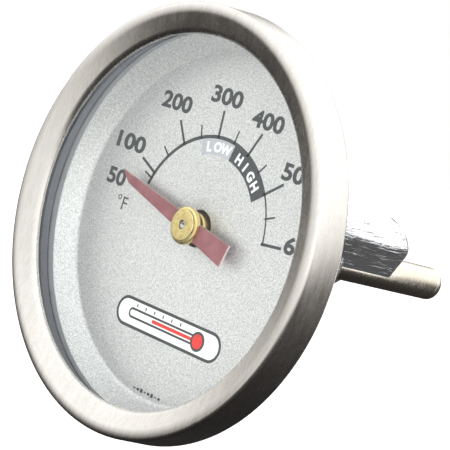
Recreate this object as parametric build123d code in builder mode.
"""Dial thermometer for a barbecue lid: bimetal movement, threaded shank and wing nut.

Frame: origin on the gauge axis in the plane where the back of the case sits on the lid.
The dial faces -Y, the stem runs along +Y, and 12 o'clock on the dial is +Z.
"""
from math import cos, radians, sin
import os

from build123d import *

# ---- driving dimensions, in mm --------------------------------------------------------------
# every y below is measured along the gauge axis from the seat on the lid

# bezel: drawn stainless sheet, rolled over the lens in front and crimped behind the case flange
sheet_t = 0.6
bezel_r = 38.0
bezel_rear_r = 38.3
bezel_front_y = -14.0
bezel_rear_y = -7.4
crest_r = 36.7
crest_y = -14.4
roll_r = 35.0
lip_r = 32.7
lip_y = -12.2
lip_roll = 0.5
crimp_r = 36.4

# lens and the rings that hold the dial under it
lens_r = 36.9
lens_t = 2.0
ring_inner_r = 34.4
flange_y = -8.54
dial_edge_y = -7.3

# dial: a dished aluminium plate
dial_t = 0.5
dial_y = -3.9
dial_flat_r = 31.6
dial_r = 35.3
dial_hole_r = 3.3

# case: a drawn cup nested behind the dial
case_t = 0.5
case_flange_r = 37.3
case_wall_r = 36.0
case_floor_r = 30.6
seat_hole_r = 4.80

# threaded shank, 3/8-16
thread_r = 4.7625
thread_pitch = 1.5875
thread_depth = 0.86
shank_neck = 2.6
shank_end_y = 29.0
shank_head_r = 6.8
shank_head_t = 1.4
seal_t = 0.5

# stem: a 1/4 inch tube with a welded end cap, its upper end turned down to press into the shank
stem_r = 3.175
stem_wall = 0.4
stem_neck_r = 3.0
stem_neck_end_y = 29.5
stem_top_y = -2.2
tube_end_y = 58.7
stem_end_y = 60.8
tip_round = 1.5

# movement
clearance = 0.05
edge_break = 0.2
staff_r = 0.75
staff_end_y = 37.9
hub_front_y = -7.7
hub_r = 3.35
hub_face_r = 2.8
hub_t = 1.3
hub_neck_r = 1.3
pointer_t = 0.4
pointer_angle = 166.7
pointer_tip = 21.6
pointer_slant = 3.0
pointer_tail = 11.3
pointer_upper_w = 0.68
pointer_lower_w = 0.84
pointer_tail_w = 2.07
rivet_ring_r = 2.1
rivet_ring_t = 0.6
bushing_front_y = -5.0
bushing_end_y = 2.0
bushing_r = 2.75
guide_y = 31.0
guide_t = 2.0

# bimetal coil in the lower half of the stem
coil_inner_r = 1.65
coil_strip_t = 0.4
coil_strip_w = 1.0
coil_pitch = 1.7
coil_start_y = 34.9
coil_turns = 12
anchor_height = 4.0
coil_collar_l = 2.2
coil_collar_wall = 0.55

# wing nut, and the washer that runs ahead of it
nut_base_y = 19.5
nut_hub_h = 8.5
nut_hub_r = 8.0
nut_hub_top_r = 6.6
nut_base_h = 1.6
nut_chamfer = 0.6
nut_bore_r = thread_r + clearance
wing_angle = 66.5
wing_t = 2.2
washer_t = 1.15
washer_r = 9.5

# one wing: its section seen along the stem, then its outline seen square on
wing_root = (1.5, 4.56)
wing_bend = (9.36, 6.9)
wing_edge = (15.05, 4.6)
wing_bend_r = 4.0
wing_foot_y = 20.5
wing_foot_x = 12.7
wing_foot_r = 2.5
wing_corner_x = 14.3
wing_corner_y = 38.8
wing_corner_r = 9.0
wing_top_y = 43.3

os.makedirs("parts", exist_ok=True)


# ---- front of the gauge ---------------------------------------------------------------------

# bezel: the outside of the sheet from the rear crimp round to the lip, then back along the inside
with BuildPart() as bezel:
    with BuildSketch(Plane.XY):
        with BuildLine():
            crimp = Line((crimp_r, bezel_rear_y), (bezel_rear_r - sheet_t, bezel_rear_y))
            rear_corner = TangentArc(
                crimp @ 1, (bezel_rear_r, bezel_rear_y - sheet_t), tangent=(1, 0)
            )
            side = Line(rear_corner @ 1, (bezel_r, bezel_front_y + 0.85))
            shoulder = TangentArc(side @ 1, (crest_r, crest_y), tangent=side % 1)
            roll = ThreePointArc(
                shoulder @ 1, (roll_r, crest_y + 0.35), (lip_r + lip_roll, lip_y - 2 * lip_roll)
            )
            lip = ThreePointArc(
                roll @ 1, (lip_r + 0.1, lip_y - 0.65), (lip_r, lip_y - 0.3)
            )
            seat = Polyline(
                lip @ 1,
                (lip_r, lip_y),
                (lip_r + sheet_t, lip_y),
            )
            inner_roll = ThreePointArc(
                seat @ 1, (roll_r + 0.2, crest_y + 1.0), (crest_r - 0.1, crest_y + sheet_t)
            )
            inner_shoulder = ThreePointArc(
                inner_roll @ 1,
                (bezel_r - sheet_t - 0.2, crest_y + 0.85),
                (bezel_r - sheet_t, crest_y + 1.4),
            )
            inner_side = Polyline(
                inner_shoulder @ 1,
                (bezel_rear_r - sheet_t, bezel_rear_y - sheet_t),
                (crimp_r, bezel_rear_y - sheet_t),
                (crimp_r, bezel_rear_y),
            )
        make_face()
    revolve(axis=Axis.Y)
bezel.part.label = "bezel"
export_step(bezel.part, "parts/bezel.step")

# lens: flat glass disc with a ground edge
lens_back_y = lip_y + lens_t
with BuildPart() as lens:
    with BuildSketch(Plane.XY):
        with BuildLine():
            Polyline(
                (0, lip_y),
                (lens_r - 0.3, lip_y),
                (lens_r, lip_y + 0.3),
                (lens_r, lens_back_y - 0.3),
                (lens_r - 0.3, lens_back_y),
                (0, lens_back_y),
                close=True,
            )
        make_face()
    revolve(axis=Axis.Y)
lens.part.label = "lens"
export_step(lens.part, "parts/lens.step")

# lens gasket: soft ring between the glass and the case flange
with BuildPart() as lens_gasket:
    with BuildSketch(Plane.XZ.offset(-lens_back_y)):
        Circle(lens_r)
        Circle(ring_inner_r, mode=Mode.SUBTRACT)
    extrude(amount=lens_back_y - flange_y)
lens_gasket.part.label = "lens_gasket"
export_step(lens_gasket.part, "parts/lens_gasket.step")

# spacer ring: presses the rim of the dial into the case, and is the dark wall round the dial
with BuildPart() as spacer_ring:
    with BuildSketch(Plane.XZ.offset(-flange_y)):
        Circle(dial_r)
        Circle(ring_inner_r, mode=Mode.SUBTRACT)
    extrude(amount=flange_y - dial_edge_y)
spacer_ring.part.label = "spacer_ring"
export_step(spacer_ring.part, "parts/spacer_ring.step")

# dial: flat face, dished wall and a narrow rim
with BuildPart() as dial:
    with BuildSketch(Plane.XY):
        with BuildLine():
            Polyline(
                (dial_hole_r, dial_y),
                (dial_flat_r, dial_y),
                (ring_inner_r, dial_edge_y),
                (dial_r, dial_edge_y),
                (dial_r, dial_edge_y + dial_t),
                (ring_inner_r + 0.3, dial_edge_y + dial_t),
                (dial_flat_r + 0.3, dial_y + dial_t),
                (dial_hole_r, dial_y + dial_t),
                close=True,
            )
        make_face()
    revolve(axis=Axis.Y)
dial.part.label = "dial"
export_step(dial.part, "parts/dial.step")

# ---- case and stem --------------------------------------------------------------------------

# case back: flange, wall with the ledge that carries the dial rim, sloping side and flat floor
ledge_y = dial_edge_y + dial_t
with BuildPart() as case_back:
    with BuildSketch(Plane.XY):
        with BuildLine():
            Polyline(
                (case_flange_r, flange_y),
                (case_flange_r, flange_y + case_t),
                (case_wall_r, flange_y + case_t),
                (case_wall_r, ledge_y + 0.6),
                (case_floor_r + 1.0, -1.0),
                (case_floor_r, 0),
                (seat_hole_r, 0),
                (seat_hole_r, -case_t),
                (case_floor_r - 0.3, -case_t),
                (case_floor_r + 0.5, -1.3),
                (ring_inner_r + 0.3, ledge_y),
                (dial_r + 0.05, ledge_y),
                (dial_r + 0.05, flange_y),
                close=True,
            )
        make_face()
    revolve(axis=Axis.Y)
case_back.part.label = "case_back"
export_step(case_back.part, "parts/case_back.step")

# shank seal: fibre ring between the shank's head and the floor of the case
with BuildPart() as shank_seal:
    with BuildSketch(Plane.XZ.offset(case_t)):
        Circle(shank_head_r)
        Circle(thread_r + 0.1, mode=Mode.SUBTRACT)
    extrude(amount=seal_t)
shank_seal.part.label = "shank_seal"
export_step(shank_seal.part, "parts/shank_seal.step")

# threaded shank: head inside the case, plain neck through the floor, then a real helical thread
head_back_y = -case_t - seal_t
head_front_y = head_back_y - shank_head_t
core_r = thread_r - thread_depth
thread_start_y = shank_neck
with BuildPart() as threaded_shank:
    with BuildSketch(Plane.XY):
        with BuildLine():
            Polyline(
                (0, head_front_y),
                (shank_head_r, head_front_y),
                (shank_head_r, head_back_y),
                (thread_r, head_back_y),
                (thread_r, thread_start_y),
                (core_r, thread_start_y + thread_depth),
                (core_r, shank_end_y - 0.2),
                (core_r - 0.2, shank_end_y),
                (0, shank_end_y),
                close=True,
            )
        make_face()
    revolve(axis=Axis.Y)
    thread_base = Vector(0, thread_start_y, 0)
    thread_length = shank_end_y - thread_start_y - thread_pitch
    with BuildLine():
        thread_path = Helix(
            pitch=thread_pitch,
            height=thread_length,
            radius=core_r,
            center=thread_base,
            direction=(0, 1, 0),
        )
    thread_radial = thread_path @ 0 - thread_base
    with BuildSketch(Plane(origin=thread_path @ 0, x_dir=thread_radial, z_dir=thread_path % 0)):
        with BuildLine():
            Polyline(
                (-0.08, -thread_pitch * 0.42),
                (thread_depth, -thread_pitch * 0.08),
                (thread_depth, thread_pitch * 0.08),
                (-0.08, thread_pitch * 0.42),
                close=True,
            )
        make_face()
    sweep(path=thread_path, is_frenet=True)
    with BuildSketch(Plane.XZ.offset(-head_front_y)):
        Circle(stem_neck_r)
    extrude(amount=head_front_y - shank_end_y, mode=Mode.SUBTRACT)
threaded_shank.part.label = "threaded_shank"
export_step(threaded_shank.part, "parts/threaded_shank.step")

# stem tube: the turned neck is pressed through the shank, and full size starts just past it
tube_inner_r = stem_r - stem_wall
with BuildPart() as stem_tube:
    with BuildSketch(Plane.XY):
        with BuildLine():
            Polyline(
                (tube_inner_r, stem_top_y),
                (stem_neck_r, stem_top_y),
                (stem_neck_r, stem_neck_end_y),
                (stem_r, stem_neck_end_y + edge_break),
                (stem_r, tube_end_y),
                (tube_inner_r, tube_end_y),
                close=True,
            )
        make_face()
    revolve(axis=Axis.Y)
stem_tube.part.label = "stem_tube"
export_step(stem_tube.part, "parts/stem_tube.step")

# stem cap: closes the tube, with a spigot inside it and a rounded end
cap_spigot = 2.0
with BuildPart() as stem_cap:
    with BuildSketch(Plane.XY):
        with BuildLine():
            cap_side = Polyline(
                (0, tube_end_y - cap_spigot),
                (tube_inner_r, tube_end_y - cap_spigot),
                (tube_inner_r, tube_end_y),
                (stem_r, tube_end_y),
                (stem_r, stem_end_y - tip_round),
            )
            cap_round = TangentArc(
                cap_side @ 1, (stem_r - tip_round, stem_end_y), tangent=(0, 1)
            )
            Polyline(cap_round @ 1, (0, stem_end_y), (0, tube_end_y - cap_spigot))
        make_face()
    revolve(axis=Axis.Y)
stem_cap.part.label = "stem_cap"
export_step(stem_cap.part, "parts/stem_cap.step")

# ---- movement inside the stem ---------------------------------------------------------------

# coil anchor: post on the cap that holds the lower end of the bimetal coil
cap_floor_y = tube_end_y - cap_spigot
with BuildPart() as coil_anchor:
    with BuildSketch(Plane.XZ.offset(-cap_floor_y + anchor_height)):
        Circle(coil_inner_r)
    extrude(amount=-anchor_height)
    chamfer(coil_anchor.edges().sort_by(Axis.Y)[0], length=edge_break)
coil_anchor.part.label = "coil_anchor"
export_step(coil_anchor.part, "parts/coil_anchor.step")

# bimetal coil: a strip wound edge on round the staff's line
coil_height = coil_turns * coil_pitch
with BuildPart() as bimetal_coil:
    coil_base = Vector(0, coil_start_y, 0)
    with BuildLine():
        coil_path = Helix(
            pitch=coil_pitch,
            height=coil_height,
            radius=coil_inner_r + coil_strip_t / 2 + clearance,
            center=coil_base,
            direction=(0, 1, 0),
        )
    coil_radial = coil_path @ 0 - coil_base
    with BuildSketch(Plane(origin=coil_path @ 0, x_dir=coil_radial, z_dir=coil_path % 0)):
        Rectangle(coil_strip_t, coil_strip_w)
    sweep(path=coil_path, is_frenet=True)
bimetal_coil.part.label = "bimetal_coil"
export_step(bimetal_coil.part, "parts/bimetal_coil.step")

# guide bearing: brass disc that centres the staff half way down the stem
with BuildPart() as guide_bearing:
    with BuildSketch(Plane.XZ.offset(-guide_y)):
        Circle(tube_inner_r)
        Circle(staff_r + clearance, mode=Mode.SUBTRACT)
    extrude(amount=-guide_t)
guide_bearing.part.label = "guide_bearing"
export_step(guide_bearing.part, "parts/guide_bearing.step")

# staff bushing: brass bearing pressed into the top of the stem, standing through the dial
with BuildPart() as staff_bushing:
    with BuildSketch(Plane.XY):
        with BuildLine():
            Polyline(
                (staff_r + clearance, bushing_front_y),
                (bushing_r - edge_break, bushing_front_y),
                (bushing_r, bushing_front_y + edge_break),
                (bushing_r, bushing_end_y),
                (staff_r + clearance, bushing_end_y),
                close=True,
            )
        make_face()
    revolve(axis=Axis.Y)
staff_bushing.part.label = "staff_bushing"
export_step(staff_bushing.part, "parts/staff_bushing.step")

# staff: thin steel shaft from the coil up to the pointer
staff_front_y = hub_front_y + 0.25
with BuildPart() as pointer_staff:
    with BuildSketch(Plane.XZ.offset(-staff_front_y)):
        Circle(staff_r)
    extrude(amount=staff_front_y - staff_end_y)
    chamfer(pointer_staff.edges().group_by(Axis.Y)[0], length=0.15)
pointer_staff.part.label = "pointer_staff"
export_step(pointer_staff.part, "parts/pointer_staff.step")

# coil collar: crimped on the lower end of the staff, where the top of the coil is welded to it
with BuildPart() as coil_collar:
    with BuildSketch(Plane.XZ.offset(-staff_end_y + coil_collar_l)):
        Circle(staff_r + coil_collar_wall)
        Circle(staff_r, mode=Mode.SUBTRACT)
    extrude(amount=-coil_collar_l)
coil_collar.part.label = "coil_collar"
export_step(coil_collar.part, "parts/coil_collar.step")

# ---- pointer --------------------------------------------------------------------------------

pointer_front_y = hub_front_y + hub_t
pointer_back_y = pointer_front_y + pointer_t
rivet_end_y = pointer_back_y + rivet_ring_t

# hub: brass button with a rounded shoulder, and a neck riveted through the pointer
with BuildPart() as pointer_hub:
    with BuildSketch(Plane.XY):
        with BuildLine():
            hub_face = Line((staff_r, hub_front_y), (hub_face_r, hub_front_y))
            shoulder_step = Polyline(
                hub_face @ 1,
                (hub_face_r + 0.12, hub_front_y + 0.35),
                (hub_r - 0.25, hub_front_y + 0.45),
            )
            hub_round = TangentArc(
                shoulder_step @ 1, (hub_r, hub_front_y + 0.7), tangent=(1, 0)
            )
            Polyline(
                hub_round @ 1,
                (hub_r, pointer_front_y),
                (hub_neck_r, pointer_front_y),
                (hub_neck_r, rivet_end_y),
                (staff_r, rivet_end_y),
                (staff_r, hub_front_y),
            )
        make_face()
    revolve(axis=Axis.Y)
pointer_hub.part.label = "pointer_hub"
export_step(pointer_hub.part, "parts/pointer_hub.step")

# pointer: flat sheet blade, blunt at both ends and cut at a slant at the tip
blade_dir = (cos(radians(pointer_angle)), 0, sin(radians(pointer_angle)))
blade_plane = Plane(origin=(0, pointer_back_y, 0), x_dir=blade_dir, z_dir=(0, -1, 0))
with BuildPart() as pointer:
    with BuildSketch(blade_plane):
        with BuildLine():
            Polyline(
                (-pointer_tail, -pointer_tail_w),
                (pointer_tip, -pointer_upper_w),
                (pointer_tip - pointer_slant, pointer_lower_w),
                (-pointer_tail, pointer_tail_w),
                close=True,
            )
        make_face()
        Circle(hub_neck_r, mode=Mode.SUBTRACT)
    extrude(amount=pointer_t)
pointer.part.label = "pointer"
export_step(pointer.part, "parts/pointer.step")

# pointer washer: brass ring riveted behind the pointer
with BuildPart() as pointer_washer:
    with BuildSketch(Plane.XZ.offset(-pointer_back_y)):
        Circle(rivet_ring_r)
        Circle(hub_neck_r, mode=Mode.SUBTRACT)
    extrude(amount=-rivet_ring_t)
pointer_washer.part.label = "pointer_washer"
export_step(pointer_washer.part, "parts/pointer_washer.step")

# ---- fastening ------------------------------------------------------------------------------

# panel washer: runs ahead of the nut, and bears on the inside of the lid
washer_front_y = nut_base_y - clearance - washer_t
with BuildPart() as panel_washer:
    with BuildSketch(Plane.XZ.offset(-washer_front_y)):
        Circle(washer_r)
        Circle(nut_bore_r, mode=Mode.SUBTRACT)
    extrude(amount=-washer_t)
    washer_rims = panel_washer.edges().filter_by(GeomType.CIRCLE).sort_by(SortBy.RADIUS)[-2:]
    chamfer(washer_rims, length=edge_break)
panel_washer.part.label = "panel_washer"
export_step(panel_washer.part, "parts/panel_washer.step")

# wing nut: a turned hub with two wings folded up beside it. Each wing is a bent tab: its root runs
# past the stem on one side, its outer half turns away from it, and its far corner is rounded
nut_top_y = nut_base_y + nut_hub_h
with BuildPart() as wing_nut:
    with BuildSketch(Plane.XY):
        with BuildLine():
            Polyline(
                (0, nut_base_y),
                (nut_hub_r, nut_base_y),
                (nut_hub_r, nut_base_y + nut_base_h),
                (nut_hub_top_r, nut_top_y - nut_chamfer),
                (nut_hub_top_r - nut_chamfer, nut_top_y),
                (0, nut_top_y),
                close=True,
            )
        make_face()
    revolve(axis=Axis.Y)
    for turn in (0, 180):
        chord = radians(wing_angle + turn)
        chord_dir = (cos(chord), 0, sin(chord))
        # the bent section, seen along the stem: x runs out along the chord, y away from the stem
        section_plane = Plane(origin=(0, nut_base_y, 0), x_dir=chord_dir, z_dir=(0, 1, 0))
        # the outline of the tab, seen square on: x runs out along the chord, y along the stem
        outline_plane = Plane(x_dir=chord_dir, origin=(0, 0, 0), z_dir=(-sin(chord), 0, cos(chord)))
        with BuildPart(mode=Mode.PRIVATE) as wing:
            with BuildSketch(section_plane):
                with BuildLine():
                    FilletPolyline(wing_root, wing_bend, wing_edge, radius=wing_bend_r)
                    offset(amount=wing_t, side=Side.RIGHT)
                make_face()
            extrude(amount=wing_top_y - nut_base_y)
            with BuildSketch(outline_plane) as outline:
                Polygon(
                    (0, wing_foot_y),
                    (wing_foot_x, wing_foot_y),
                    (wing_corner_x, wing_corner_y),
                    (0, wing_top_y),
                    align=None,
                )
                outer_corner = outline.vertices().sort_by(Axis.X)[-1]
                fillet(outer_corner, radius=wing_corner_r)
                foot_corner = outline.vertices().group_by(Axis.Y)[0].sort_by(Axis.X)[-1]
                fillet(foot_corner, radius=wing_foot_r)
            extrude(amount=wing_corner_x, both=True, mode=Mode.INTERSECT)
        add(wing.part)
    with BuildSketch(Plane.XZ.offset(-nut_base_y)):
        Circle(nut_bore_r)
    extrude(amount=nut_base_y - wing_top_y, mode=Mode.SUBTRACT)
wing_nut.part.label = "wing_nut"
export_step(wing_nut.part, "parts/wing_nut.step")
